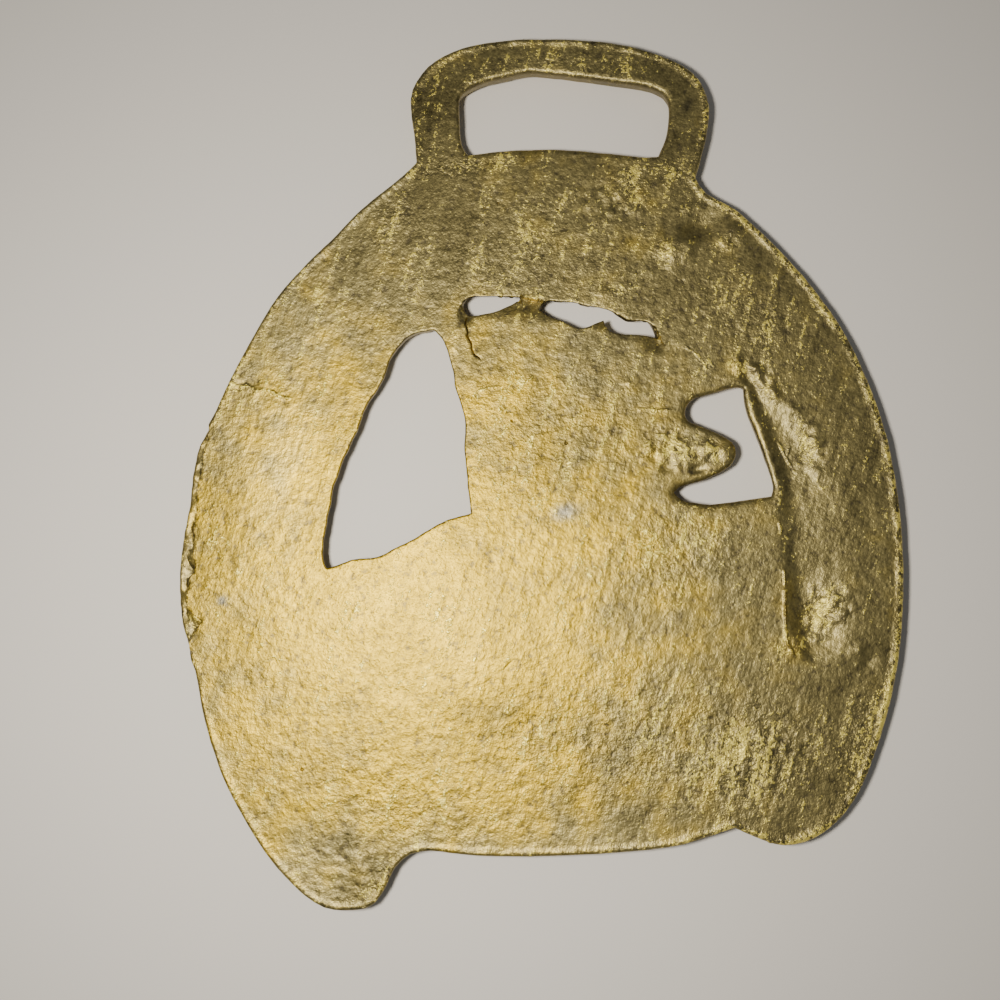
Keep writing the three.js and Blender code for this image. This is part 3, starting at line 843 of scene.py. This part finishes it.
final = np.empty(len(casting.data.vertices) * 3)
casting.data.vertices.foreach_get("co", final)
final = final.reshape(-1, 3) / MM
plan = final[:, :2]
x, y = plan.T
on_back = eased((final[:, 2] - 2.0) / 0.5)
apart, _, owner = by_the_edges(plan)
directions_out = np.empty(len(casting.data.vertices) * 3)
casting.data.vertices.foreach_get("normal", directions_out)
upright = np.abs(directions_out.reshape(-1, 3)[:, 2])
rim = (1 - eased((apart - 0.45) / 0.6)) * (owner == 0) * (0.3 + 0.8 * eased((x - 5) / 20))
wide_rim = (1 - eased((apart - 0.6) / 1.6)) * (owner == 0) * blurred(plan, RUBBED_RIM)
ridges = np.zeros(len(plan))
for line, width, height in LINES[:-2]:
    away, _ = from_line(plan, np.array(line))
    ridges = np.maximum(ridges, 1 - eased(np.abs(away) / (width + 0.12)))
# Rubbed bright metal along the outer edge, the raised lines and the listed ovals, with painted light in it:
# a rim highlight along the outer edge that grows towards the right, highlights along the raised lines, and
# glints on the ovals whose slopes face the lamp.
rubbed_and_glints = np.max([blurred(plan, RUBBED_AND_GLINTS), rim, wide_rim, ridges], 0) * on_back
front_tops = (1 - on_back) * eased((0.9 - final[:, 2]) / 0.7)
marks = {
    # rubbed metal on the back and on the front's tops, with the painted glints and highlights of the back
    "rubbed_and_glints": rubbed_and_glints + front_tops,
    # on the back, a painted warmth of the lamp's highlight, strongest where its reflection falls and fading
    # out from there; on the front a flat share of gold
    "gold_and_painted_highlight": (1 - eased(np.hypot((x + 14) / 46, (y + 14) / 44))) * on_back + 0.3 * (1 - on_back),
    "tone": blurred(plan, TONES) * on_back,
    "stained": blurred(plan, [((2.4, -5.5), 2.2, 1.4, 0.3, 1.0), ((-31.9, -14.3), 0.8, 0.7, 0, 1.0)]),
    "sooty": blurred(plan, [((15.4, 36.9), 1.5, 0.9, 0.9, 0.8)]),
    # painted shade on the steep walls and sides
    "painted_wall_shade": 1 - eased((upright - 0.3) / 0.4),
}
for name, values in marks.items():
    mark = casting.data.attributes.new(name, "FLOAT", "POINT")
    mark.data.foreach_set("value", values)


def maths(tree, operation, one, other=None, third=None):
    """A sum on up to three values or sockets."""
    feeds = {number: value for number, value in enumerate((one, other, third)) if value is not None}
    return node(tree, "ShaderNodeMath", feeds, operation=operation).outputs[0]


def clouds(tree, place, size, detail, seed, roughness=0.55):
    """Noise about 0 in lumps of a size in millimetres."""
    noise_node = node(tree, "ShaderNodeTexNoise", {
        "Vector": place, "W": seed, "Scale": 1 / size, "Detail": detail, "Roughness": roughness},
        noise_dimensions="4D")
    return maths(tree, "SUBTRACT", noise_node.outputs[0], 0.5)


def between(tree, value, low, high, start=0.0, end=1.0):
    """From start at low to end at high, eased between them."""
    return node(
        tree, "ShaderNodeMapRange",
        {"Value": value, "From Min": low, "From Max": high, "To Min": start, "To Max": end},
        interpolation_type="SMOOTHSTEP").outputs[0]


def mixed(tree, share, one, other, **settings):
    """One colour turned towards another."""
    return node(
        tree, "ShaderNodeMix", {0: share, 6: one, 7: other}, data_type="RGBA", **settings).outputs[2]


def shader_group(name, sockets, results):
    """A shader node group with float results: its tree, what it is given and its results by name."""
    tree = bpy.data.node_groups.new(name, "ShaderNodeTree")
    numbered(tree, sockets)
    for result in results:
        tree.interface.new_socket(result, in_out="OUTPUT", socket_type="NodeSocketFloat")
    return tree, tree.nodes.new("NodeGroupInput").outputs, tree.nodes.new("NodeGroupOutput").inputs


def placed(tree, group, feeds):
    """A node group put in a tree; gives its outputs."""
    made = node(tree, "ShaderNodeGroup", node_tree=group)
    for name, value in feeds.items():
        tree.links.new(value, made.inputs[name])
    return made.outputs


# The print of the sand, in millimetres of height, and how deep in it a point is.
sand_grain, given, results = shader_group(
    "sand_grain", [("Place", "Vector", None)], ["Height", "Speckle", "Hollow"])
speckle = clouds(sand_grain, given["Place"], 0.24, 2.0, 1.0, 0.7)
grit = clouds(sand_grain, given["Place"], 0.6, 3.0, 2.0, 0.65)
lumps = clouds(sand_grain, given["Place"], 1.5, 2.0, 3.0)
height = maths(sand_grain, "MULTIPLY", speckle, 0.035)
height = maths(sand_grain, "MULTIPLY_ADD", grit, 0.07, height)
height = maths(sand_grain, "MULTIPLY_ADD", lumps, 0.12, height)
sand_grain.links.new(height, results["Height"])
sand_grain.links.new(maths(sand_grain, "ADD", speckle, grit), results["Speckle"])
sand_grain.links.new(between(sand_grain, grit, -0.06, -0.16), results["Hollow"])

# The marks of a file drawn across the back, leaning.
file_marks, given, results = shader_group("file_marks", [("Place", "Vector", None)], ["Marks"])
turned = node(file_marks, "ShaderNodeVectorRotate", {
    "Vector": given["Place"], "Axis": (0, 0, 1), "Angle": FILE_LEAN}, rotation_type="AXIS_ANGLE")
drawn = node(file_marks, "ShaderNodeVectorMath", {
    0: turned.outputs[0], 1: (1.0, 0.14, 1.0)}, operation="MULTIPLY")
file_marks.links.new(clouds(file_marks, drawn.outputs[0], 0.7, 2.0, 4.0), results["Marks"])

# Where the tops of the skin are rubbed down to bright metal, and where painted glints and highlights
# show bright.
rubbed_and_glinting_tops, given, results = shader_group("rubbed_and_glinting_tops", [
    ("Place", "Vector", None), ("Rubbed And Glints", "Float", 0.0), ("Marks", "Float", 0.0),
    ("Speckle", "Float", 0.0)], ["Bright"])
patches = clouds(rubbed_and_glinting_tops, given["Place"], 3.4, 3.0, 5.0)
tops = clouds(rubbed_and_glinting_tops, given["Place"], 0.36, 2.0, 9.0, 0.7)
reach = maths(rubbed_and_glinting_tops, "MULTIPLY_ADD", tops, 1.2, maths(rubbed_and_glinting_tops, "MULTIPLY", given["Speckle"], 0.35))
reach = maths(rubbed_and_glinting_tops, "MULTIPLY_ADD", given["Marks"], 0.85, reach)
reach = maths(rubbed_and_glinting_tops, "MULTIPLY_ADD", patches, 0.45, reach)
reach = maths(rubbed_and_glinting_tops, "MULTIPLY_ADD", given["Rubbed And Glints"], 0.22, reach)
rubbed_and_glinting_tops.links.new(between(rubbed_and_glinting_tops, reach, 0.16, 0.32), results["Bright"])

brass.use_nodes = True
metal = brass.node_tree
shader = metal.nodes["Principled BSDF"]
shader.inputs["Metallic"].default_value = 1
coordinates = node(metal, "ShaderNodeTexCoord").outputs["Object"]
place = node(metal, "ShaderNodeVectorMath", {0: coordinates, "Scale": 1 / MM}, operation="SCALE").outputs[0]
mark = {
    name: node(metal, "ShaderNodeAttribute", attribute_name=name).outputs["Fac"] for name in marks}
sand = placed(metal, sand_grain, {"Place": place})
filed = placed(metal, file_marks, {"Place": place})["Marks"]
bright_and_glint = placed(metal, rubbed_and_glinting_tops, {
    "Place": place, "Rubbed And Glints": mark["rubbed_and_glints"], "Marks": filed, "Speckle": sand["Speckle"]})["Bright"]
cloudy = clouds(metal, place, 7.0, 4.0, 6.0, 0.6)
blotches = clouds(metal, place, 2.6, 3.0, 10.0)
# The gold share: random patina clouds and blotches, plus the painted highlight warmth on the back.
gold_and_highlight = maths(metal, "MULTIPLY_ADD", cloudy, 1.4, mark["gold_and_painted_highlight"])
gold_and_highlight = between(metal, maths(metal, "MULTIPLY_ADD", blotches, 1.0, gold_and_highlight), 0.0, 0.85)
colour = mixed(metal, gold_and_highlight, DULL, GOLDEN_AND_HIGHLIGHT)
shade = maths(metal, "MULTIPLY_ADD", sand["Speckle"], 1.3, 1.0)
shade = maths(metal, "MULTIPLY_ADD", filed, 0.8, shade)
shade = maths(metal, "MULTIPLY_ADD", cloudy, 1.1, shade)
shade = maths(metal, "MULTIPLY_ADD", blotches, 0.7, shade)
shade = maths(metal, "ADD", shade, mark["tone"])
colour = node(metal, "ShaderNodeVectorMath", {0: colour, "Scale": shade}, operation="SCALE").outputs[0]
colour = mixed(metal, maths(metal, "MULTIPLY", sand["Hollow"], 0.55), colour, HOLLOW)
colour = mixed(metal, maths(metal, "MULTIPLY", mark["stained"], 0.6), colour, STAIN)
# Bright rubbed metal, with painted glints and highlights.
colour = mixed(metal, maths(metal, "MULTIPLY", bright_and_glint, 0.85), colour, BRIGHT_METAL_AND_GLINT)
# Painted shade: steep walls and sides turn dark.
colour = mixed(metal, maths(metal, "MULTIPLY", mark["painted_wall_shade"], 0.75), colour, WALL_SHADE)
colour = mixed(metal, mark["sooty"], colour, SOOT)
metal.links.new(colour, shader.inputs["Base Color"])
metal.links.new(between(metal, bright_and_glint, 0.0, 1.0, 0.47, 0.42), shader.inputs["Roughness"])
metal.links.new(between(metal, bright_and_glint, 0.0, 1.0, 1.0, 0.55), shader.inputs["Metallic"])
height = maths(metal, "MULTIPLY", sand["Height"], maths(metal, "MULTIPLY_ADD", mark["rubbed_and_glints"], 1.3, 1.0))
height = maths(metal, "MULTIPLY_ADD", bright_and_glint, 0.02, height)
height = maths(metal, "MULTIPLY_ADD", filed, 0.05, height)
relief = node(metal, "ShaderNodeBump", {"Height": height, "Strength": 1.0, "Distance": MM})
metal.links.new(relief.outputs[0], shader.inputs["Normal"])

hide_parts("horse_brass")
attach(casting, "root")
